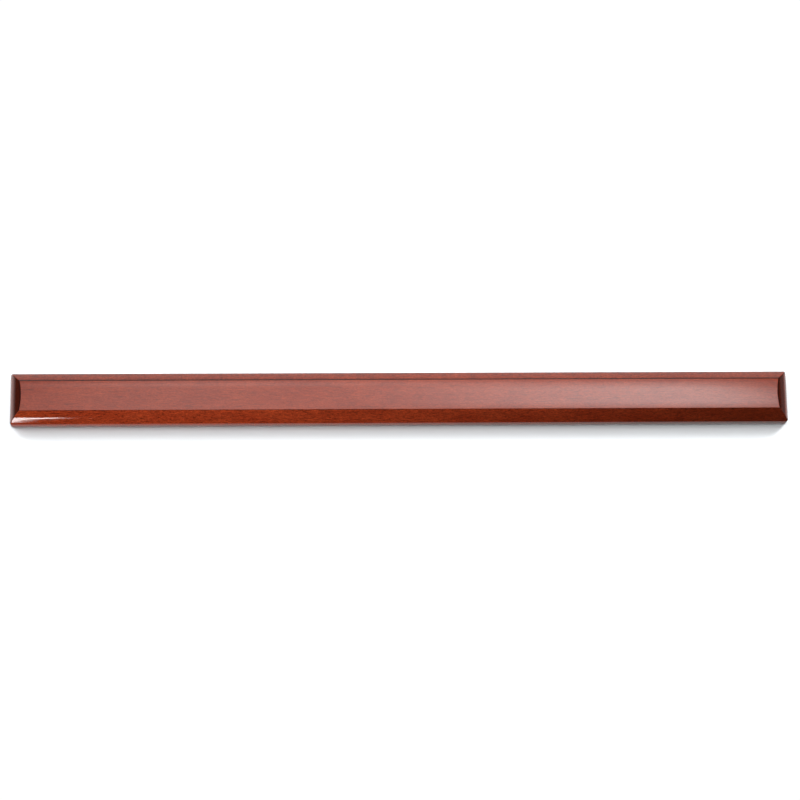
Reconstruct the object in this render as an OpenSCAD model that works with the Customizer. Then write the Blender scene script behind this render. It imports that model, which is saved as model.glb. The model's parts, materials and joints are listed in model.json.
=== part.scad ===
// Magnetic knife rack: a bevelled hardwood bar with a magnet core let into its back.
// X runs along the bar, Z is up and the front faces -Y. The back lies on the plane Y = 0,
// and the origin is midway between the two keyholes, at the middle of the back.

/* [Bar] */
// Length of the bar along the wall
bar_l = 600; // [400:10:900]
// Height of the bar on the wall
bar_h = 40; // [39:0.5:44]
// Depth of the straight side strip behind the bevels
side_d = 8; // [7.5:0.1:12]
// Rounding radius of the four outer corners, seen from the front
corner_r = 1.5; // [0.5:0.1:3]

/* [Front face] */
// Width of the two long bevels, measured up the face
bevel_w = 8.2; // [7:0.1:9]
// Width of the two end bevels, measured along the bar
end_bevel_w = 7.6; // [6:0.1:9]
// Rise of every bevel from the side strip to the panel's edge
bevel_d = 10; // [9:0.1:12]
// Bulge of each bevel's face out of flat
bevel_bulge = 0.8; // [0.2:0.1:1.2]
// Crown of the front panel above its long edges
crown = 1; // [0.6:0.1:1.6]

/* [Magnet core] */
// Wood left in front of the pole rails, at the panel's long edges
skin_t = 1.5; // [1.2:0.1:2]
// Height of the core across both rails and the magnets
core_h = 22; // [18:0.5:22]
// Thickness of each steel pole rail
rail_t = 3; // [2:0.5:4]
// Length of one block magnet
magnet_l = 38; // [30:1:50]
// Length of one spacer between two magnets
spacer_l = 6; // [3:0.5:12]
// Step from the rails' front edges back to the magnets
magnet_setback = 0.5; // [0.2:0.1:1]
// Thickness of the foam strip behind the core
foam_t = 2; // [1:0.5:3]
// Radius of the cutter that milled the channel
cutter_r = 3; // [2:0.5:4]

/* [Back cover] */
// Thickness of the plywood cover
cover_t = 3; // [2.5:0.5:4]
// Height of the plywood cover
cover_h = 34; // [33:0.5:34]
// Gap between the cover or a hanger plate and the wood around it
seam = 0.2; // [0.1:0.05:0.4]
// Number of screw pairs along the cover
cover_screw_pairs = 5; // [3:1:7]

/* [Hanger plates] */
// Width of a plate along the bar
plate_w = 16; // [15:0.5:18]
// Height of a plate
plate_h = 34; // [33:0.5:34]
// Thickness of a plate
plate_t = 1.5; // [1.4:0.1:2]
// Distance from the bar's end to the middle of a plate
plate_from_end = 19; // [18:0.5:20]
// Radius of the keyhole's round entry
entry_r = 4.5; // [4.2:0.1:4.8]
// Radius of the keyhole's slot
slot_r = 2.3; // [2.1:0.1:2.5]
// Rise from the entry's centre to the top of the slot's travel
slot_rise = 6; // [5:0.5:6]
// Depth of the pocket behind the plate for a wall screw's head
head_pocket_d = 9; // [5:0.5:12]

/* [Countersunk screws] */
// Radius of the screw head
head_r = 2.8; // [2.5:0.1:3]
// Radius of the screw shank
shank_r = 1.4; // [1.2:0.1:1.5]
// Overall length of the screw
screw_l = 12; // [8:0.5:13]
// Length of the screw's pointed tip
tip_l = 2.5; // [2:0.5:3]

/* [Hidden] */
$fn = 96;
wide_fn = 360; // facets of the large circles that shape the front
over = 1; // how far a cutting shape runs past the face that it cuts
end_zone = 38; // length at each end that the magnet core leaves to the hanger
cover_lap = 4; // how far the cover laps the ends of the channel
hole_r = shank_r + 0.2;
cross_l = 3;
cross_w = 0.7;
cross_d = 0.9;

bar_d = side_d + bevel_d + crown;
panel_h = bar_h - 2 * bevel_w;
core_front = side_d + bevel_d - skin_t;
core_back = cover_t + foam_t;
rail_d = core_front - core_back;
magnet_h = core_h - 2 * rail_t;
magnet_d = rail_d - magnet_setback;
pitch = magnet_l + spacer_l;
magnet_n = floor((bar_l - 2 * end_zone + spacer_l) / pitch);
core_l = magnet_n * pitch - spacer_l;
channel_l = core_l + 2 * cutter_r;
cover_l = channel_l + 2 * cover_lap;
cover_screw_x = core_l / 2 - 2 * head_r - spacer_l;
cover_screw_z = (core_h + cover_h) / 4;
plate_x = bar_l / 2 - plate_from_end;
plate_screw_z = plate_h / 2 - head_r - 1;
plate_corner_r = 3;
head_pocket_r = entry_r + 1;

wood_color = [0.47, 0.16, 0.10];
steel_color = [0.72, 0.73, 0.75];
ferrite_color = [0.21, 0.21, 0.22];
spacer_color = [0.90, 0.90, 0.86];
foam_color = [0.13, 0.13, 0.14];
ply_color = [0.76, 0.60, 0.41];
screw_color = [0.80, 0.74, 0.52];

function two_digits(i) = str(i < 10 ? "0" : "", i);
function magnet_name(i) = str("magnet_", two_digits(i));
function spacer_name(i) = str("spacer_", two_digits(i));

// ---- Helpers ----

// A rectangle about the origin with true round corners
module rounded_rect(size, r) {
    square([size.x - 2 * r, size.y], center = true);
    square([size.x, size.y - 2 * r], center = true);
    for (x = [-1, 1], y = [-1, 1])
        translate([x * (size.x / 2 - r), y * (size.y / 2 - r)]) circle(r);
}

// Extrudes an [X, Z] outline from one depth behind the back plane to a deeper one
module milled(from, to) {
    translate([0, -from, 0]) rotate([90, 0, 0]) linear_extrude(to - from) children();
}

// A block of the core: centre along the bar, lowest Z, then its length, height and depth
module core_block(x, z, l, h, d) {
    translate([x - l / 2, -core_back - d, z]) cube([l, d, h]);
}

// The corner that a bevel takes off, with its arris at the origin.
// The first axis is depth and the second runs outwards, across the bevel's width.
module bevel_cut(run) {
    chord = norm([bevel_d, run]);
    r = (chord * chord / 4 + bevel_bulge * bevel_bulge) / (2 * bevel_bulge);
    reach = run + crown + over;
    difference() {
        translate([0, -reach]) square([bevel_d + crown + over, reach + over]);
        translate([bevel_d, -run] / 2 - [run, bevel_d] * (r - bevel_bulge) / chord)
            circle(r, $fn = wide_fn);
    }
}

// A strip of the bar's depth with a bevel at both of its edges
module bevelled_strip(width, run) {
    difference() {
        translate([0, -width / 2]) square([bar_d, width]);
        for (edge = [0, 1])
            mirror([0, edge]) translate([side_d, width / 2]) bevel_cut(run);
    }
}

// The circle whose edge is the front panel's crown
module crown_circle() {
    r = (panel_h * panel_h / 4 + crown * crown) / (2 * crown);
    translate([bar_d - r, 0]) circle(r, $fn = wide_fn);
}

// Hole for one countersunk screw, from its head at Z = 0 upwards
module countersunk_hole(depth) {
    translate([0, 0, -over]) cylinder(h = over, r = head_r);
    cylinder(h = head_r - hole_r, r1 = head_r, r2 = hole_r);
    cylinder(h = depth + over, r = hole_r);
}

// One countersunk wood screw, driven forwards from the back plane
module countersunk_screw() {
    head_h = head_r - shank_r;
    rotate([90, 0, 0]) difference() {
        union() {
            cylinder(h = head_h, r1 = head_r, r2 = shank_r);
            translate([0, 0, head_h]) cylinder(h = screw_l - head_h - tip_l, r = shank_r);
            translate([0, 0, screw_l - tip_l]) cylinder(h = tip_l, r1 = shank_r, r2 = 0.2);
        }
        for (turn = [0, 90])
            rotate([0, 0, turn]) cube([cross_l, cross_w, 2 * cross_d], center = true);
    }
}

module at_cover_screws() {
    step = 2 * cover_screw_x / (cover_screw_pairs - 1);
    for (i = [0:cover_screw_pairs - 1], z = [-1, 1])
        translate([i * step - cover_screw_x, 0, z * cover_screw_z]) children();
}

module at_hanger_screws() {
    for (x = [-1, 1], z = [-1, 1])
        translate([x * plate_x, 0, z * plate_screw_z]) children();
}

// A keyhole about the origin: a round entry with a slot above it, or its wider pocket
module keyhole_outline(r, r_top, rise) {
    circle(r);
    translate([-r_top, 0]) square([2 * r_top, rise]);
    translate([0, rise]) circle(r_top);
}

// ---- Wooden body ----

module bar_blank() {
    intersection() {
        rotate([90, 0, -90]) linear_extrude(bar_l, center = true)
            intersection() {
                bevelled_strip(bar_h, bevel_w);
                crown_circle();
            }
        rotate([0, 0, -90]) linear_extrude(bar_h, center = true)
            bevelled_strip(bar_l, end_bevel_w);
        milled(-over, bar_d + over) rounded_rect([bar_l, bar_h], corner_r);
    }
}

module hanger_pocket() {
    milled(-over, plate_t)
        rounded_rect([plate_w, plate_h] + [2, 2] * seam, plate_corner_r + seam);
    milled(plate_t - seam, plate_t + head_pocket_d)
        keyhole_outline(head_pocket_r, head_pocket_r, slot_rise - 1);
}

module wood_body() {
    color(wood_color) difference() {
        bar_blank();
        milled(cover_t - seam, core_front) rounded_rect([channel_l, core_h], cutter_r);
        milled(-over, cover_t)
            rounded_rect([cover_l, cover_h] + [2, 2] * seam, cutter_r + seam);
        for (x = [-1, 1]) translate([x * plate_x, 0, 0]) hanger_pocket();
        at_cover_screws() milled(0, screw_l) circle(shank_r);
        at_hanger_screws() milled(0, screw_l) circle(shank_r);
    }
}

// ---- Magnet core ----

module pole_rail(z) {
    color(steel_color) core_block(0, z, core_l, rail_t, rail_d);
}

module upper_pole_rail() {
    pole_rail(magnet_h / 2);
}

module lower_pole_rail() {
    pole_rail(-magnet_h / 2 - rail_t);
}

module magnet(i) {
    x = (i - 1) * pitch + (magnet_l - core_l) / 2;
    color(ferrite_color) core_block(x, -magnet_h / 2, magnet_l, magnet_h, magnet_d);
}

module spacer(i) {
    x = i * pitch - (spacer_l + core_l) / 2;
    color(spacer_color) core_block(x, -magnet_h / 2, spacer_l, magnet_h, magnet_d);
}

module foam_strip() {
    color(foam_color) milled(cover_t, core_back) square([core_l, core_h], center = true);
}

// ---- Back ----

module back_cover() {
    color(ply_color) difference() {
        milled(0, cover_t) rounded_rect([cover_l, cover_h], cutter_r);
        at_cover_screws() rotate([90, 0, 0]) countersunk_hole(cover_t);
    }
}

module cover_screws() {
    color(screw_color) at_cover_screws() countersunk_screw();
}

module hanger_plate() {
    color(steel_color) difference() {
        milled(0, plate_t) rounded_rect([plate_w, plate_h], plate_corner_r);
        milled(-over, plate_t + over) keyhole_outline(entry_r, slot_r, slot_rise);
        for (z = [-1, 1])
            translate([0, 0, z * plate_screw_z]) rotate([90, 0, 0]) countersunk_hole(plate_t);
    }
}

module left_hanger_plate() {
    translate([-plate_x, 0, 0]) hanger_plate();
}

module right_hanger_plate() {
    translate([plate_x, 0, 0]) hanger_plate();
}

module hanger_screws() {
    color(steel_color) at_hanger_screws() countersunk_screw();
}

wood_body();
upper_pole_rail();
lower_pole_rail();
for (i = [1:magnet_n])
    magnet(i);
for (i = [1:magnet_n - 1])
    spacer(i);
foam_strip();
back_cover();
cover_screws();
left_hanger_plate();
right_hanger_plate();
hanger_screws();
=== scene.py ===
"""The looks of the magnetic knife rack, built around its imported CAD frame.

Everything is in metres in the CAD frame. X runs along the bar, Z is up, the knife face looks towards -Y
and the bar's back lies on Y = 0.
"""

import json
import math

import bmesh
import bpy
import numpy as np
from mathutils import Euler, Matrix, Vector


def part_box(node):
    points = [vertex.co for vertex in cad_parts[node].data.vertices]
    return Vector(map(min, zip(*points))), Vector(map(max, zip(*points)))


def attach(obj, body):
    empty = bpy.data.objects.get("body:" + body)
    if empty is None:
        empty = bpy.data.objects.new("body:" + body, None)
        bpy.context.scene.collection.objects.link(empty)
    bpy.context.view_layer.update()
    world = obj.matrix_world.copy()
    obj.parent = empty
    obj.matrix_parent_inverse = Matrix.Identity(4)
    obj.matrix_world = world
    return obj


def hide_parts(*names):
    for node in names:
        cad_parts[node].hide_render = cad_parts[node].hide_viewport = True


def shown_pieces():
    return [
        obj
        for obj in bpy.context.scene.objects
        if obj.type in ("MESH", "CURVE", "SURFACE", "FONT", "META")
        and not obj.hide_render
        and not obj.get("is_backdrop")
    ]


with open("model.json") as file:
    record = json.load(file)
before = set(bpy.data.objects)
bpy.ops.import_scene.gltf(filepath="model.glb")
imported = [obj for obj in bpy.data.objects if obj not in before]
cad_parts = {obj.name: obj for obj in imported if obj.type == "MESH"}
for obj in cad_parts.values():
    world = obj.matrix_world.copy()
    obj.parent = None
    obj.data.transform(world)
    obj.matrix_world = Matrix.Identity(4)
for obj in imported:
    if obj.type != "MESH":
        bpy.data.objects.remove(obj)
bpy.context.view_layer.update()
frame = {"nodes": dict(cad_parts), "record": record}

MM = 0.001

# ---- Sizes of the bar, which its mesh repeats from the CAD source ------------------------------
BODY_LOW, BODY_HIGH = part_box("wood_body")
HALF_L = BODY_HIGH.x
HALF_H = BODY_HIGH.z
BAR_D = -BODY_LOW.y
BEVEL_W = 8.2 * MM
END_BEVEL_W = 7.6 * MM
BEVEL_D = 10 * MM
BEVEL_BULGE = 0.8 * MM
CROWN = 1 * MM
SIDE_D = BAR_D - BEVEL_D - CROWN
CORNER_R = 1.5 * MM

# What is let into the back
SEAM = 0.2 * MM  # play around the cover and around the hanger plates
MILL_R = 3 * MM  # corners of the channel and of what lies in the recesses
POCKET_R = 5.5 * MM
POCKET_RISE = 5 * MM  # how far a pocket runs on upwards for the wall screw's head
POCKET_D = 9 * MM  # depth of a pocket under its hanger plate

# Easings
ARRIS_R = 0.25 * MM  # rounding between the side strip and a bevel
BACK_R = 0.5 * MM  # rounding of the back's edges
MITRE_SOFT = 0.12 * MM  # difference in depth over which the edges of bevels and panel are eased

# The rows of points on the front, and on the rounding of the back's edges
ARRIS_ROWS = 7
BACK_ROWS = 5
BEVEL_STEP = 0.3 * MM
FINE_STEP = 0.12 * MM
FINE_OUT = 0.7 * MM  # how far down a bevel the fine rows start
FINE_IN_X = 1.8 * MM  # how far in from the end bevels they go, since the panel's ends are bowed
FINE_IN_Z = 0.8 * MM  # how far in from the long bevels they go
PANEL_STEP_X = 6 * MM
PANEL_STEP_Z = 0.8 * MM

# A darker line in the wood's colour along the panel's upper edge and its ends
EDGE_DARKENING = 0.95
EDGE_DARKENING_REACH = 0.6 * MM  # how far it reaches down a bevel
EDGE_DARKENING_MARGIN = 0.1 * MM  # how far it may lie on the panel's side of the edge


# ---- Small helpers -----------------------------------------------------------------------------
def mesh_object(name, verts, faces):
    mesh = bpy.data.meshes.new(name)
    mesh.from_pydata([tuple(v) for v in verts], [], faces)
    mesh.update()
    obj = bpy.data.objects.new(name, mesh)
    bpy.context.scene.collection.objects.link(obj)
    return obj


def smooth_by_angle(obj, degrees):
    obj.data.shade_smooth()
    obj.data.set_sharp_from_angle(angle=math.radians(degrees))


def recalculate_normals(obj):
    bm = bmesh.new()
    bm.from_mesh(obj.data)
    bmesh.ops.recalc_face_normals(bm, faces=bm.faces)
    bm.to_mesh(obj.data)
    bm.free()


# ---- The wooden bar's front, as a depth over the X-Z plane -------------------------------------
def bevel_circle(run):
    """Centre (inwards, depth) and radius of the arc that a bevel's bulged face follows."""
    chord = math.hypot(run, BEVEL_D)
    radius = (chord * chord / 4 + BEVEL_BULGE * BEVEL_BULGE) / (2 * BEVEL_BULGE)
    back = (radius - BEVEL_BULGE) / chord
    return run / 2 + BEVEL_D * back, SIDE_D + BEVEL_D / 2 - run * back, radius


def bevel_depth(inwards, run):
    """Depth of a bevel's face at a distance in from the side face, eased at its outer arris."""
    centre, centre_depth, radius = bevel_circle(run)
    face = centre_depth + np.sqrt(np.maximum(radius**2 - (inwards - centre) ** 2, 0))
    face = np.where(inwards > centre, centre_depth + radius, face)
    arris_depth = centre_depth + math.sqrt((radius - ARRIS_R) ** 2 - (ARRIS_R - centre) ** 2)
    tangent = centre + (ARRIS_R - centre) * radius / (radius - ARRIS_R)
    easing = arris_depth + np.sqrt(np.maximum(ARRIS_R**2 - (inwards - ARRIS_R) ** 2, 0))
    return np.where(inwards < tangent, easing, face)


def crown_depth(z):
    """Depth of the panel, an arc over the bar's height that is the same all along the bar."""
    half = HALF_H - BEVEL_W
    radius = (half * half + CROWN * CROWN) / (2 * CROWN)
    return BAR_D - radius + np.sqrt(radius**2 - z**2)


def soft_min(a, b, width):
    """The smaller of two depths, eased where they differ by less than the width."""
    blend = np.maximum(width - np.abs(a - b), 0) / width
    return np.minimum(a, b) - blend * blend * width / 4


def bevels_depth(x, z):
    """Depth of the four mitred bevels, carried on inwards past the panel."""
    ends = bevel_depth(HALF_L - np.abs(x), END_BEVEL_W)
    sides = bevel_depth(HALF_H - np.abs(z), BEVEL_W)
    return soft_min(ends, sides, MITRE_SOFT)


def front_depth(x, z):
    return soft_min(bevels_depth(x, z), crown_depth(z), MITRE_SOFT)


def stations(half, run, fine_to, step):
    """Distances in from a side face at which the front has a row of points, up to the middle."""
    easing = ARRIS_R * (1 - np.cos(np.linspace(0, math.pi / 2, ARRIS_ROWS + 1)[:-1]))
    bevel = np.arange(ARRIS_R + FINE_STEP, run - FINE_OUT, BEVEL_STEP)
    crest = np.arange(run - FINE_OUT, fine_to, FINE_STEP)
    rest = np.linspace(fine_to, half, max(2, round((half - fine_to) / step)))
    return np.unique(np.round(np.concatenate([easing, bevel, crest, rest]), 7))


def mirrored(inwards, half):
    """Coordinates of the stations from one side face to the other."""
    low = inwards - half
    return np.concatenate([low, -low[:-1][::-1]])


def rounded_corner(x, z):
    """Moves points near the bar's four corners from a square outline onto a round one."""
    over_x = np.abs(x) - (HALF_L - CORNER_R)
    over_z = np.abs(z) - (HALF_H - CORNER_R)
    near = (over_x > 0) & (over_z > 0)
    length = np.where(near, np.hypot(over_x, over_z), 1)
    share = np.where(near, np.maximum(over_x, over_z) / length, 1)
    new_x = np.where(near, np.sign(x) * (HALF_L - CORNER_R + over_x * share), x)
    new_z = np.where(near, np.sign(z) * (HALF_H - CORNER_R + over_z * share), z)
    return new_x, new_z


def edge_normal(x, z):
    """The outline's outward normal at a point on it."""
    over_x = abs(x) - (HALF_L - CORNER_R)
    over_z = abs(z) - (HALF_H - CORNER_R)
    if over_x > 0 and over_z > 0:
        normal = Vector((math.copysign(over_x, x), math.copysign(over_z, z)))
    elif over_x > over_z:
        normal = Vector((math.copysign(1, x), 0))
    else:
        normal = Vector((0, math.copysign(1, z)))
    return normal.normalized()


def front_grid():
    """The front's points and faces, and the loop of the points on its border."""
    xs = mirrored(stations(HALF_L, END_BEVEL_W, END_BEVEL_W + FINE_IN_X, PANEL_STEP_X), HALF_L)
    zs = mirrored(stations(HALF_H, BEVEL_W, BEVEL_W + FINE_IN_Z, PANEL_STEP_Z), HALF_H)
    grid_x, grid_z = np.meshgrid(xs, zs, indexing="ij")
    depth = front_depth(grid_x, grid_z)
    round_x, round_z = rounded_corner(grid_x, grid_z)
    verts = [Vector(p) for p in zip(round_x.ravel(), -depth.ravel(), round_z.ravel())]
    columns, rows = grid_x.shape
    faces = [
        (i * rows + k, (i + 1) * rows + k, (i + 1) * rows + k + 1, i * rows + k + 1)
        for i in range(columns - 1)
        for k in range(rows - 1)
    ]
    border = [i * rows for i in range(columns)]
    border += [(columns - 1) * rows + k for k in range(1, rows)]
    border += [i * rows + rows - 1 for i in range(columns - 2, -1, -1)]
    border += range(rows - 2, 0, -1)
    return verts, faces, border


def bar_blank():
    """The bar before its back is cut: a fine grid for the front, and rings for the sides and back."""
    verts, faces, border = front_grid()
    ring = border
    for turn in np.linspace(0, math.pi / 2, BACK_ROWS):
        inset, back = BACK_R * (1 - math.cos(turn)), BACK_R * (1 - math.sin(turn))
        start = len(verts)
        for index in border:
            x, z = verts[index].x, verts[index].z
            normal = edge_normal(x, z)
            verts.append(Vector((x - normal.x * inset, -back, z - normal.y * inset)))
        new = list(range(start, start + len(border)))
        faces += [(ring[j], ring[j - 1], new[j - 1], new[j]) for j in range(len(border))]
        ring = new
    faces.append(tuple(ring))
    obj = mesh_object("wood_bar", verts, faces)
    recalculate_normals(obj)
    return obj


# ---- The bar's back ----------------------------------------------------------------------------
def rounded_outline(half_x, half_z, radius, middle=0.0, steps=8):
    """A rectangle about (middle, 0) with round corners, as X-Z points."""
    points = []
    for side_x, side_z, first in ((1, 1, 0), (-1, 1, 90), (-1, -1, 180), (1, -1, 270)):
        for i in range(steps + 1):
            angle = math.radians(first + 90 * i / steps)
            x = middle + side_x * (half_x - radius) + radius * math.cos(angle)
            z = side_z * (half_z - radius) + radius * math.sin(angle)
            points.append((x, z))
    return points


def cutter(outline, depth):
    """A closed prism of an X-Z outline, from a depth out past the back."""
    past = 1 * MM
    count = len(outline)
    verts = [(x, -depth, z) for x, z in outline] + [(x, past, z) for x, z in outline]
    faces = [tuple(range(count)), tuple(range(2 * count - 1, count - 1, -1))]
    faces += [(i, (i + 1) % count, count + (i + 1) % count, count + i) for i in range(count)]
    obj = mesh_object("cutter", verts, faces)
    recalculate_normals(obj)
    return obj


def cut(obj, tool):
    """Takes a closed tool away from an object, and then removes the tool."""
    mod = obj.modifiers.new("cut", "BOOLEAN")
    mod.operation, mod.solver, mod.object = "DIFFERENCE", "EXACT", tool
    depsgraph = bpy.context.evaluated_depsgraph_get()
    mesh = bpy.data.meshes.new_from_object(obj.evaluated_get(depsgraph))
    obj.modifiers.clear()
    obj.data = mesh
    bpy.data.objects.remove(tool)


def cut_back(bar):
    """Lets the cover's recess, the channel, and the hangers' recesses and pockets into the back."""
    low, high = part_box("back_cover")
    cut(bar, cutter(rounded_outline(high.x + SEAM, high.z + SEAM, MILL_R + SEAM), -low.y))
    low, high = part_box("upper_pole_rail")
    cut(bar, cutter(rounded_outline(high.x + MILL_R, high.z, MILL_R), -low.y))
    for plate in ("left_hanger_plate", "right_hanger_plate"):
        low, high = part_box(plate)
        middle = (low.x + high.x) / 2
        half_w = (high.x - low.x) / 2 + SEAM
        cut(bar, cutter(rounded_outline(half_w, high.z + SEAM, MILL_R + SEAM, middle), -low.y))
        # A corner a hair smaller than half the width keeps the two arcs of a pocket's end apart.
        pocket = rounded_outline(POCKET_R, POCKET_R + POCKET_RISE / 2, POCKET_R * 0.999, middle, 16)
        pocket = [(x, z + POCKET_RISE / 2) for x, z in pocket]
        cut(bar, cutter(pocket, POCKET_D - low.y))


def store_edge_darkening(bar):
    """A value per point: how strongly the colour is darkened along the panel's upper edge and its ends."""
    coordinates = np.zeros(len(bar.data.vertices) * 3)
    bar.data.vertices.foreach_get("co", coordinates)
    x, _, z = coordinates.reshape(-1, 3).T
    below = crown_depth(np.clip(z, -HALF_H, HALF_H)) - bevels_depth(x, z)
    edge_darkening = np.exp(-((np.maximum(below, 0) / EDGE_DARKENING_REACH) ** 2)) * (below > -EDGE_DARKENING_MARGIN)
    edge_darkening *= EDGE_DARKENING * (z > -HALF_H + BEVEL_W)
    attribute = bar.data.attributes.new("edge_darkening", "FLOAT", "POINT")
    attribute.data.foreach_set("value", edge_darkening.astype(np.float32))


# ---- Materials ---------------------------------------------------------------------------------
class Nodes:
    """A thin layer over a node tree, so that a material reads as one expression per step."""

    def __init__(self, tree):
        self.tree = tree
        tree.nodes.clear()

    def add(self, kind, settings=None, **inputs):
        node = self.tree.nodes.new(kind)
        for key, value in (settings or {}).items():
            setattr(node, key, value)
        for key, value in inputs.items():
            self.put(node.inputs[key.replace("_", " ")], value)
        return node

    def put(self, socket, value):
        if isinstance(value, bpy.types.NodeSocket):
            self.tree.links.new(value, socket)
        else:
            socket.default_value = value

    def math(self, operation, *values):
        node = self.tree.nodes.new("ShaderNodeMath")
        node.operation = operation
        for socket, value in zip(node.inputs, values):
            self.put(socket, value)
        return node.outputs[0]

    def weigh(self, a, b, share):
        """The mean of two values, in which the second one has this share."""
        return self.math("ADD", self.math("MULTIPLY", a, 1 - share), self.math("MULTIPLY", b, share))

    def stretched(self, position, sizes):
        """Coordinates in which a texture of scale 1 has features of these sizes along X, Y and Z."""
        node = self.add("ShaderNodeMapping", Vector=position, Scale=tuple(1 / size for size in sizes))
        return node.outputs[0]

    def noise(self, position, sizes, detail=3.0, roughness=0.5, distortion=0.0):
        """Noise with features of these sizes along X, Y and Z."""
        node = self.add("ShaderNodeTexNoise", Vector=self.stretched(position, sizes), Scale=1.0,
                        Detail=detail, Roughness=roughness, Distortion=distortion)
        return node.outputs["Fac"]

    def span(self, value, low, high, to_low=0.0, to_high=1.0, smooth=True):
        """Maps low to high onto another range, and holds its ends beyond."""
        shape = "SMOOTHSTEP" if smooth else "LINEAR"
        node = self.add("ShaderNodeMapRange", {"interpolation_type": shape})
        for socket, v in zip(node.inputs, (value, low, high, to_low, to_high)):
            self.put(socket, v)
        return node.outputs[0]

    def mix(self, factor, a, b, blend="MIX"):
        node = self.add("ShaderNodeMix", {"data_type": "RGBA", "blend_type": blend})
        for socket, v in zip((node.inputs[0], node.inputs[6], node.inputs[7]), (factor, a, b)):
            self.put(socket, v)
        return node.outputs[2]

    def bump(self, height, strength, distance):
        return self.add("ShaderNodeBump", Height=height, Strength=strength, Distance=distance).outputs[0]

    def surface(self, **inputs):
        shader = self.add("ShaderNodeBsdfPrincipled", **inputs)
        out = self.add("ShaderNodeOutputMaterial")
        self.tree.links.new(shader.outputs[0], out.inputs["Surface"])


def new_material(name):
    material = bpy.data.materials.new(name)
    material.use_nodes = True
    nodes = Nodes(material.node_tree)
    position = nodes.add("ShaderNodeTexCoord").outputs["Object"]
    return material, nodes, position


def paint(obj, material):
    if obj.material_slots:
        for slot in obj.material_slots:
            slot.link = "OBJECT"
            slot.material = material
    else:
        obj.data.materials.append(material)


WOOD_DARK = (0.255, 0.0275, 0.0080, 1)
WOOD_LIGHT = (0.310, 0.0385, 0.0115, 1)
WOOD_FIGURE = (0.325, 0.0420, 0.0125, 1)
WOOD_PORE = (0.060, 0.008, 0.004, 1)
WOOD_END = (0.035, 0.007, 0.004, 1)
WOOD_EDGE_DARK = (0.020, 0.003, 0.002, 1)


def lacquered_wood():
    """Red-brown stained hardwood with its grain along X, under clear gloss lacquer."""
    material, n, position = new_material("lacquered_wood")
    bands = n.noise(position, (0.30, 0.007, 0.007), detail=3.0, roughness=0.55, distortion=0.4)
    streaks = n.noise(position, (0.030, 0.0009, 0.0009), detail=3.0, roughness=0.6, distortion=0.2)
    figure = n.noise(position, (0.026, 0.012, 0.012), detail=2.0)
    fibres = n.noise(position, (0.0045, 0.00048, 0.00048), detail=2.0, roughness=0.6)
    flecks = n.noise(position, (0.0014, 0.00052, 0.00052), detail=1.0)
    pores = n.noise(position, (0.010, 0.0005, 0.0005), detail=1.0)
    tone = n.span(n.weigh(bands, streaks, 0.5), 0.34, 0.66, smooth=False)
    colour = n.mix(tone, WOOD_DARK, WOOD_LIGHT)
    colour = n.mix(n.span(figure, 0.35, 0.7), colour, WOOD_FIGURE)

    facing = n.add("ShaderNodeSeparateXYZ", Vector=n.add("ShaderNodeTexCoord").outputs["Normal"])
    facing_x, facing_y = (n.math("ABSOLUTE", facing.outputs[i]) for i in (0, 1))

    # The fine grain shows most on the bevels, and about half as much on the panel and the side faces.
    fine = n.span(n.weigh(fibres, flecks, 0.5), 0.34, 0.66, -0.5, 0.5, smooth=False)
    contrast = n.math("MULTIPLY", n.span(facing_y, 0.85, 0.97, 1.5, 0.64),
                      n.span(facing_y, 0.1, 0.5, 0.45, 1.0))
    colour = n.mix(1.0, colour, n.math("ADD", n.math("MULTIPLY", fine, contrast), 1.0), "MULTIPLY")

    # Painted shade: where the bar faces down, it gets darker from the middle to the right, along the bands.
    along = n.add("ShaderNodeSeparateXYZ", Vector=position).outputs[0]
    painted_right_shade = n.math("ADD", along, n.math("MULTIPLY", n.math("SUBTRACT", bands, 0.5), 0.15))
    painted_right_shade = n.math("MULTIPLY", n.span(painted_right_shade, -0.14, 0.26, -0.06, 0.60, smooth=False),
                   n.span(facing.outputs[2], -0.45, -0.15, 1, 0))
    colour = n.mix(1.0, colour, n.math("SUBTRACT", 1.0, painted_right_shade), "MULTIPLY")

    pore = n.span(pores, 0.58, 0.72)
    colour = n.mix(n.math("MULTIPLY", pore, 0.45), colour, WOOD_PORE)

    # End grain takes up more stain: most on the end bevels, less on the end faces.
    end_grain = n.math("MULTIPLY", n.span(facing_x, 0.30, 0.60), n.span(facing_x, 0.76, 0.86, 0.88, 0.50))
    colour = n.mix(end_grain, colour, WOOD_END)
    # Darker along the panel's upper edge and its ends, by the value stored per point.
    edge_darkening = n.add("ShaderNodeAttribute", {"attribute_name": "edge_darkening"}).outputs["Fac"]
    colour = n.mix(edge_darkening, colour, WOOD_EDGE_DARK)

    # The grain can be felt a little through the lacquer, but hardly on the side faces.
    relief = n.math("SUBTRACT", fine, n.math("MULTIPLY", pore, 0.8))
    relief = n.math("MULTIPLY", relief, n.span(facing_y, 0.1, 0.6, 0.04, 1.0))
    n.surface(
        Base_Color=colour, Roughness=n.span(streaks, 0.3, 0.7, 0.42, 0.55), Specular_IOR_Level=0.0,
        Normal=n.bump(relief, 0.5, 0.05 * MM),
        Coat_Weight=1.0, Coat_Roughness=0.03, Coat_IOR=1.5, Coat_Normal=n.bump(relief, 0.4, 0.008 * MM),
    )
    return material


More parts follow.
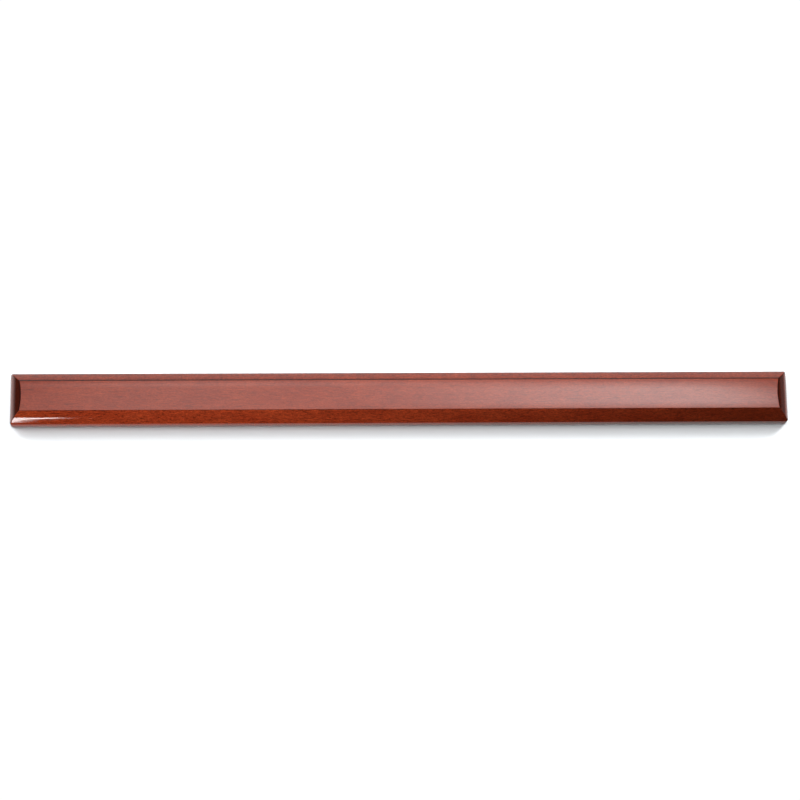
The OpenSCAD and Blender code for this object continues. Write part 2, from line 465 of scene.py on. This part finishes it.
def birch_plywood():
    material, n, position = new_material("birch_plywood")
    bands = n.noise(position, (0.25, 0.01, 0.012), detail=3.0, distortion=0.6)
    grain = n.noise(position, (0.05, 0.002, 0.0012), detail=4.0, roughness=0.6, distortion=0.3)
    flecks = n.noise(position, (0.004, 0.001, 0.0004), detail=2.0)
    tone = n.span(n.weigh(bands, grain, 0.45), 0.35, 0.65)
    colour = n.mix(tone, (0.50, 0.32, 0.17, 1), (0.66, 0.48, 0.29, 1))
    colour = n.mix(n.math("MULTIPLY", n.span(flecks, 0.6, 0.72), 0.5), colour, (0.33, 0.18, 0.08, 1))
    n.surface(Base_Color=colour, Roughness=n.span(grain, 0.3, 0.7, 0.6, 0.75),
              Normal=n.bump(grain, 0.4, 0.1 * MM))
    return material


def brushed_zinc(name, colour_a, colour_b):
    """Rolled sheet with a thin zinc layer: fine lines along X, and the blotches of the plating."""
    material, n, position = new_material(name)
    lines = n.noise(position, (0.012, 0.0002, 0.0002), detail=3.0, roughness=0.6)
    blotches = n.noise(position, (0.004, 0.004, 0.004), detail=4.0, roughness=0.6, distortion=0.8)
    colour = n.mix(n.span(blotches, 0.35, 0.65), colour_a, colour_b)
    rough = n.math("ADD", n.span(lines, 0.3, 0.7, 0.20, 0.34), n.span(blotches, 0.3, 0.7, 0.0, 0.08))
    n.surface(Base_Color=colour, Metallic=1.0, Roughness=rough, Normal=n.bump(lines, 0.25, 0.02 * MM))
    return material


def ferrite():
    material, n, position = new_material("ferrite")
    grit = n.noise(position, (0.0005, 0.0005, 0.0005))
    stain = n.noise(position, (0.008, 0.008, 0.008))
    colour = n.mix(n.span(stain, 0.35, 0.65), (0.030, 0.030, 0.032, 1), (0.060, 0.058, 0.058, 1))
    n.surface(Base_Color=colour, Roughness=n.span(grit, 0.3, 0.7, 0.55, 0.8),
              Normal=n.bump(grit, 0.4, 0.05 * MM))
    return material


def moulded_plastic():
    material, n, position = new_material("moulded_plastic")
    texture = n.noise(position, (0.0006, 0.0006, 0.0006), detail=2.0)
    cloud = n.noise(position, (0.006, 0.006, 0.006), detail=2.0)
    colour = n.mix(n.span(cloud, 0.35, 0.65), (0.70, 0.70, 0.64, 1), (0.78, 0.78, 0.72, 1))
    n.surface(Base_Color=colour, Roughness=n.span(texture, 0.3, 0.7, 0.45, 0.6),
              Normal=n.bump(texture, 0.3, 0.03 * MM))
    return material


def closed_cell_foam():
    material, n, position = new_material("closed_cell_foam")
    cell_size = (0.0007, 0.0007, 0.0007)
    cells = n.add("ShaderNodeTexVoronoi", Vector=n.stretched(position, cell_size), Scale=1.0)
    height = cells.outputs["Distance"]
    colour = n.mix(n.span(height, 0.1, 0.8), (0.012, 0.012, 0.013, 1), (0.035, 0.035, 0.038, 1))
    n.surface(Base_Color=colour, Roughness=n.span(height, 0.0, 0.8, 0.95, 0.8),
              Normal=n.bump(height, 0.5, 0.2 * MM))
    return material


# ---- The object --------------------------------------------------------------------------------
def wood_bar():
    bar = bar_blank()
    cut_back(bar)
    store_edge_darkening(bar)
    smooth_by_angle(bar, 35)
    paint(bar, lacquered_wood())
    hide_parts("wood_body")
    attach(bar, "root")


def ease_edges(node, width):
    """Rounds a CAD node's sharp edges by a modifier, which leaves its mesh as packed."""
    mod = frame["nodes"][node].modifiers.new("eased", "BEVEL")
    mod.width, mod.segments, mod.limit_method = width, 2, "ANGLE"
    mod.angle_limit = math.radians(50)


def finish_nodes():
    """Materials for the pieces behind and inside the bar."""
    by_slot = {
        "zinc_steel": brushed_zinc("zinc_steel", (0.58, 0.60, 0.63, 1), (0.72, 0.73, 0.75, 1)),
        "yellow_zinc": brushed_zinc("yellow_zinc", (0.62, 0.47, 0.20, 1), (0.74, 0.60, 0.34, 1)),
        "ferrite": ferrite(),
        "spacer_plastic": moulded_plastic(),
        "foam": closed_cell_foam(),
        "plywood": birch_plywood(),
    }
    for part in frame["record"]["subparts"]:
        if part["material_slot"] in by_slot:
            paint(frame["nodes"][part["node"]], by_slot[part["material_slot"]])
    ease_edges("back_cover", 0.25 * MM)
    ease_edges("left_hanger_plate", 0.15 * MM)
    ease_edges("right_hanger_plate", 0.15 * MM)


# ---- Stage: a white card behind the bar, a pale floor, lamps, sky and camera -------------------
CARD_Y = 0.1 * MM
CARD_X, CARD_Z = 0.080, 0.036  # how far the card reaches past the bar
FADE_X, FADE_Z = 0.050, 0.018  # how wide the card's edges fade
CARD_WHITE = (0.67, 0.68, 0.69, 1)
CARD_LIGHT = (0.955, 0.985, 1.0)
FLOOR_Z = -1.4
FLOOR_HALF = 6.0
CORNERS = ((-1, -1), (1, -1), (1, 1), (-1, 1))


def light_only(lamp, receivers):
    group = bpy.data.collections.new(lamp.name + "_receivers")
    for obj in receivers:
        group.objects.link(obj)
    lamp.light_linking.receiver_collection = group


def fading_white():
    """White from the front, fading out at the edges. From behind it lets everything through."""
    material, n, position = new_material("white_wall")
    axes = n.add("ShaderNodeSeparateXYZ", Vector=position).outputs
    past_x = n.math("SUBTRACT", n.math("ABSOLUTE", axes[0]), HALF_L)
    past_z = n.math("SUBTRACT", n.math("ABSOLUTE", axes[2]), HALF_H)
    shown = n.math("MULTIPLY", n.span(past_x, CARD_X - FADE_X, CARD_X, 1, 0),
                   n.span(past_z, CARD_Z - FADE_Z, CARD_Z, 1, 0))
    front = n.math("SUBTRACT", 1.0, n.add("ShaderNodeNewGeometry").outputs["Backfacing"])
    mix = n.add("ShaderNodeMixShader", Fac=n.math("MULTIPLY", shown, front))
    n.put(mix.inputs[1], n.add("ShaderNodeBsdfTransparent").outputs[0])
    n.put(mix.inputs[2], n.add("ShaderNodeBsdfDiffuse", Color=CARD_WHITE).outputs[0])
    out = n.add("ShaderNodeOutputMaterial")
    n.put(out.inputs["Surface"], mix.outputs[0])
    return material


def wall():
    """A white card with an opening behind the bar, a little smaller than the bar."""
    inset = 0.6 * MM
    verts = [
        (side_x * (HALF_L + past_x), CARD_Y, side_z * (HALF_H + past_z))
        for past_x, past_z in ((CARD_X, CARD_Z), (-inset, -inset))
        for side_x, side_z in CORNERS
    ]
    faces = [(i, (i + 1) % 4, 4 + (i + 1) % 4, 4 + i) for i in range(4)]
    card = mesh_object("white_card", verts, faces)
    card.data.materials.append(fading_white())
    card.visible_glossy = False
    card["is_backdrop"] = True
    return card


def floor():
    """A pale floor with a sun lamp of its own. What it throws up at the bar is that of a darker floor."""
    verts = [(side_x * FLOOR_HALF, side_y * FLOOR_HALF, FLOOR_Z) for side_x, side_y in CORNERS]
    ground = mesh_object("pale_floor", verts, [(0, 1, 2, 3)])
    material, n, position = new_material("pale_floor")
    cloud = n.noise(position, (0.6, 0.6, 0.6), detail=2.0)
    pale = n.mix(cloud, (0.86, 0.86, 0.86, 1), (0.90, 0.90, 0.90, 1))
    seen = n.add("ShaderNodeLightPath").outputs["Is Camera Ray"]
    colour = n.mix(seen, (0.31, 0.31, 0.31, 1), pale)
    n.surface(Base_Color=colour, Roughness=0.7, Specular_IOR_Level=0.0)
    ground.data.materials.append(material)
    ground.visible_glossy = False
    ground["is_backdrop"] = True
    data = bpy.data.lights.new("floor_light", "SUN")
    data.energy, data.angle = 2.2, math.radians(25)
    lamp = bpy.data.objects.new("floor_light", data)
    lamp.visible_glossy = False
    bpy.context.scene.collection.objects.link(lamp)
    light_only(lamp, [ground])


def towards(azimuth, elevation):
    """Unit vector from the bar in a direction. Azimuth 0 is straight in front, and positive is right."""
    a, e = math.radians(azimuth), math.radians(elevation)
    return Vector((math.sin(a) * math.cos(e), -math.cos(a) * math.cos(e), math.sin(e)))


def area_lamp(name, azimuth, elevation, distance, size, power, receivers, aim=(0, 0, 0), tint=(1, 1, 1)):
    """A square lamp aimed at a point, which lights only its receivers and shows in no reflection."""
    data = bpy.data.lights.new(name, "AREA")
    data.shape, data.size, data.energy, data.color = "SQUARE", size, power, tint
    lamp = bpy.data.objects.new(name, data)
    away = towards(azimuth, elevation)
    lamp.location = Vector(aim) + away * distance
    lamp.rotation_euler = (-away).to_track_quat("-Z", "Y").to_euler()
    lamp.visible_glossy = False
    bpy.context.scene.collection.objects.link(lamp)
    light_only(lamp, receivers)


def lamps(card):
    """The card's lamps stand in front of it and above, so that the bar's soft shadow falls below the bar."""
    area_lamp("wall_front", 0, 5, 3.0, 0.6, 21, [card], tint=CARD_LIGHT)
    area_lamp("wall_left_low", -50, 24, 5.0, 2.6, 235, [card], tint=CARD_LIGHT)
    area_lamp("wall_left_high", -50, 40, 5.0, 1.4, 152, [card], tint=CARD_LIGHT)
    area_lamp("wall_right", 50, 38, 5.0, 1.6, 390, [card], tint=CARD_LIGHT)
    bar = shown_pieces()
    area_lamp("above", 2, 24, 0.55, 0.25, 1.74, bar)
    area_lamp("low_left", -10, -86, 0.45, 0.15, 0.56, bar, aim=(-0.16, 0, 0))
    area_lamp("left_corner", -75, -20, 0.45, 0.1, 0.4, bar, aim=(-0.3, 0, 0))
    area_lamp("left_end", -104, 5, 1.5, 0.6, 9, bar)
    area_lamp("right_end", 104, 5, 1.5, 0.6, 25, bar)


def softbox(n, azimuth, elevation, across, up, radiance):
    """A feathered patch of sky. Across and up give its start, full start, full end and end in degrees."""
    sideways = n.math("MULTIPLY", n.span(azimuth, across[0], across[1]),
                      n.span(azimuth, across[2], across[3], 1, 0))
    upwards = n.math("MULTIPLY", n.span(elevation, up[0], up[1]), n.span(elevation, up[2], up[3], 1, 0))
    return n.math("MULTIPLY", n.math("MULTIPLY", sideways, upwards), radiance)


def low_box(n, axes):
    """A bright card down on the left, which the left end of the lower bevel mirrors as a white wedge.

    Its front edge lies 5 degrees in front of straight down. It gets deeper towards the left, at first
    quickly and near its left end again. Its depth and the distance past its front edge are in degrees.
    """
    left = n.span(n.math("MULTIPLY", axes[0], -1.0), 0.084, 0.104, smooth=False)
    backwards = n.math("DEGREES", n.math("ARCTAN2", axes[1], n.math("MULTIPLY", axes[2], -1.0)))
    depth = n.math("ADD", n.math("MULTIPLY", n.math("POWER", left, 0.6), 9.0),
                   n.math("MULTIPLY", n.math("POWER", left, 9.0), 13.0))
    past = n.math("ADD", backwards, 5.0)
    deep = n.math("MULTIPLY", n.span(past, 0.0, 0.6),
                  n.span(n.math("SUBTRACT", past, depth), -1.0, 0.0, 1, 0))
    wide = n.math("MULTIPLY", n.span(left, 0.02, 0.15), n.span(axes[0], -0.22, -0.17))
    return n.math("MULTIPLY", n.math("MULTIPLY", deep, wide), 17.0)


def studio_light(n, direction):
    """What the lacquer mirrors: a dim sky with soft boxes."""
    axes = n.add("ShaderNodeSeparateXYZ", Vector=direction).outputs
    azimuth = n.math("DEGREES", n.math("ARCTAN2", axes[0], n.math("MULTIPLY", axes[1], -1.0)))
    elevation = n.math("DEGREES", n.math("ARCSINE", axes[2]))
    either_side = n.math("ABSOLUTE", azimuth)
    from_behind = n.math("SUBTRACT", 180.0, either_side)
    boxes = (
        # The panel: its right half, its whole length, and its upper edge
        softbox(n, azimuth, elevation, (0, 9, 9, 12), (-8, 5, 20, 32), 4.05),
        softbox(n, azimuth, elevation, (-12, -2, 9, 15), (-10, -4, 24, 34), 2.3),
        softbox(n, azimuth, elevation, (-12, -2, 9, 15), (24, 30, 38, 46), 1.95),
        # The upper bevel: the sky overhead and behind
        softbox(n, azimuth, elevation, (-362, -361, 361, 362), (58, 74, 91, 92), 0.75),
        softbox(n, from_behind, elevation, (-2, -1, 40, 60), (5, 15, 58, 74), 0.49),
        # The lower side strip
        softbox(n, from_behind, elevation, (-2, -1, 30, 40), (-45, -35, -3, 5), 0.32),
        # The outer part of the left end bevel and of the right one, and then the inner part of both
        softbox(n, azimuth, elevation, (-168, -152, -123, -98), (-20, -5, 40, 60), 1.15),
        softbox(n, azimuth, elevation, (92, 98, 140, 160), (-20, -5, 40, 60), 0.22),
        softbox(n, azimuth, elevation, (120, 128, 150, 165), (-20, -5, 40, 60), 0.42),
        softbox(n, either_side, elevation, (22, 34, 62, 78), (-48, -34, 48, 62), 0.5),
        low_box(n, axes),
    )
    radiance = 0.01
    for box in boxes:
        radiance = n.math("ADD", box, radiance)
    return radiance


def sky():
    """White to the camera, and a dim studio with soft boxes to everything else."""
    world = bpy.data.worlds.new("studio")
    bpy.context.scene.world = world
    world.use_nodes = True
    n = Nodes(world.node_tree)
    radiance = studio_light(n, n.add("ShaderNodeTexCoord").outputs["Generated"])
    glow = n.add("ShaderNodeBackground", Color=(1, 1, 1, 1), Strength=radiance).outputs[0]
    white = n.add("ShaderNodeBackground", Color=(1, 1, 1, 1), Strength=1.05).outputs[0]
    mix = n.add("ShaderNodeMixShader", Fac=n.add("ShaderNodeLightPath").outputs["Is Camera Ray"])
    n.put(mix.inputs[1], glow)
    n.put(mix.inputs[2], white)
    out = n.add("ShaderNodeOutputWorld")
    n.put(out.inputs["Surface"], mix.outputs[0])


CAMERA_AZIMUTH, CAMERA_ELEVATION, CAMERA_ROLL = -2.40, -14.79, -0.83
CAMERA_DISTANCE = 2.047
CAMERA_LENS = 118.83
CAMERA_AIM = (-0.33 * MM, 0, 0.27 * MM)


def camera():
    """Below the bar's front and a little to its left, looking up at the middle of its back."""
    data = bpy.data.cameras.new("camera")
    data.lens = CAMERA_LENS
    data.clip_start, data.clip_end = 0.05, 50
    cam = bpy.data.objects.new("camera", data)
    cam.location = towards(CAMERA_AZIMUTH, CAMERA_ELEVATION) * CAMERA_DISTANCE
    sight = Vector(CAMERA_AIM) - cam.location
    turn = sight.to_track_quat("-Z", "Y") @ Euler((0, 0, math.radians(CAMERA_ROLL))).to_quaternion()
    cam.rotation_mode = "QUATERNION"
    cam.rotation_quaternion = turn
    bpy.context.scene.collection.objects.link(cam)
    bpy.context.scene.camera = cam


wood_bar()
finish_nodes()
white_card = wall()
floor()
lamps(white_card)
sky()
camera()
bpy.context.scene.view_settings.view_transform = "Standard"
